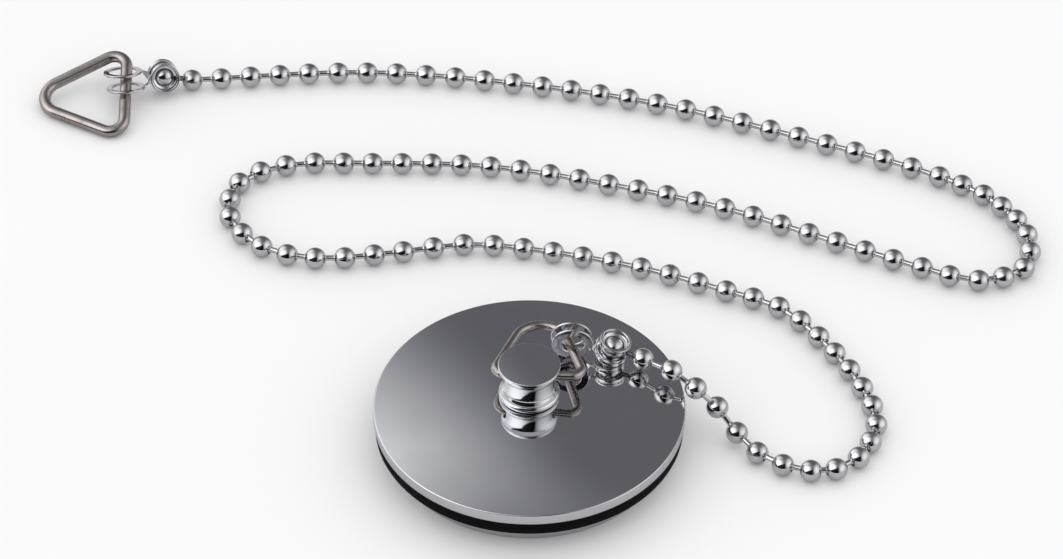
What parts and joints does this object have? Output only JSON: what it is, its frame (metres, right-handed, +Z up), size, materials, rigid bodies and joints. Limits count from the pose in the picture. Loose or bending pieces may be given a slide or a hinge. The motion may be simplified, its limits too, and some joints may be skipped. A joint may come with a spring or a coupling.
{
  "type": "drain plug with ball chain",
  "caption": "Chrome basin or bath drain plug with rubber seal, pull knob, ball chain and triangular pull ring.",
  "frame": {"origin": "centre of the plug's flat underside, on the surface the plug stands on", "axes": "+Z up through the knob; the knob's cross hole runs along X; the chain is laid out towards +Y behind the plug"},
  "size_m": [0.2103, 0.1444, 0.0214],
  "materials": {
    "polished_chrome": "mirror polished chrome plate on brass",
    "coupling_chrome": "bright plated stamped sheet",
    "chain_steel": "bright plated steel",
    "ring_steel": "satin, slightly warm drawn wire",
    "black_rubber": "matt moulded rubber",
    "brass": "turned, unplated"
  },
  "bodies": {
    "plug": {"cover_plate": "polished_chrome", "seal_ring": "black_rubber", "lower_disc": "polished_chrome", "knob": "polished_chrome", "clamp_screw": "brass", "plain_washer": "chain_steel", "lock_washer": "chain_steel", "spacer_bush": "brass", "centre_gasket": "black_rubber", "bead_chain": "chain_steel"},
    "knob_ring": {"knob_ring": "ring_steel"},
    "near_coupling": {"near_coupling_front": "coupling_chrome", "near_coupling_back": "coupling_chrome"},
    "near_bead": {"near_end_bead": "chain_steel", "near_link": "chain_steel"},
    "far_bead": {"far_end_bead": "chain_steel", "far_link": "chain_steel"},
    "far_coupling": {"far_coupling_front": "coupling_chrome", "far_coupling_back": "coupling_chrome"},
    "end_ring": {"end_ring": "ring_steel"}
  },
  "joints": [
    {"name": "knob_ring_swing", "type": "hinge", "parent": "plug", "child": "knob_ring", "pos_m": [0, 0, 0.0184], "axis": [1, 0, 0], "range_deg": [0, 30]},
    {"name": "near_coupling_swing", "type": "hinge", "parent": "knob_ring", "child": "near_coupling", "pos_m": [0.00768, 0.0117, 0.01697], "axis": [0.2848, -0.9524, 0.1089], "range_deg": [0, 6]},
    {"name": "near_bead_swivel", "type": "hinge", "parent": "near_coupling", "child": "near_bead", "pos_m": [0.0168, 0.0117, 0.0148], "axis": [0.9172, -0.3731, -0.1399], "continuous": true},
    {"name": "far_bead_swivel", "type": "hinge", "parent": "plug", "child": "far_bead", "pos_m": [-0.0781, 0.1076, 0.0042], "axis": [0.9437, 0.1416, -0.2989], "continuous": true},
    {"name": "far_coupling_swing", "type": "hinge", "parent": "plug", "child": "far_coupling", "pos_m": [-0.0781, 0.1076, 0.0042], "axis": [-0.2119, 0.8851, -0.4144], "range_deg": [0, 50]},
    {"name": "end_ring_fold", "type": "hinge", "parent": "far_coupling", "child": "end_ring", "pos_m": [-0.086, 0.1058, 0.00485], "axis": [0, 0.9703, 0.2419], "range_deg": [0, 135]}
  ]
}
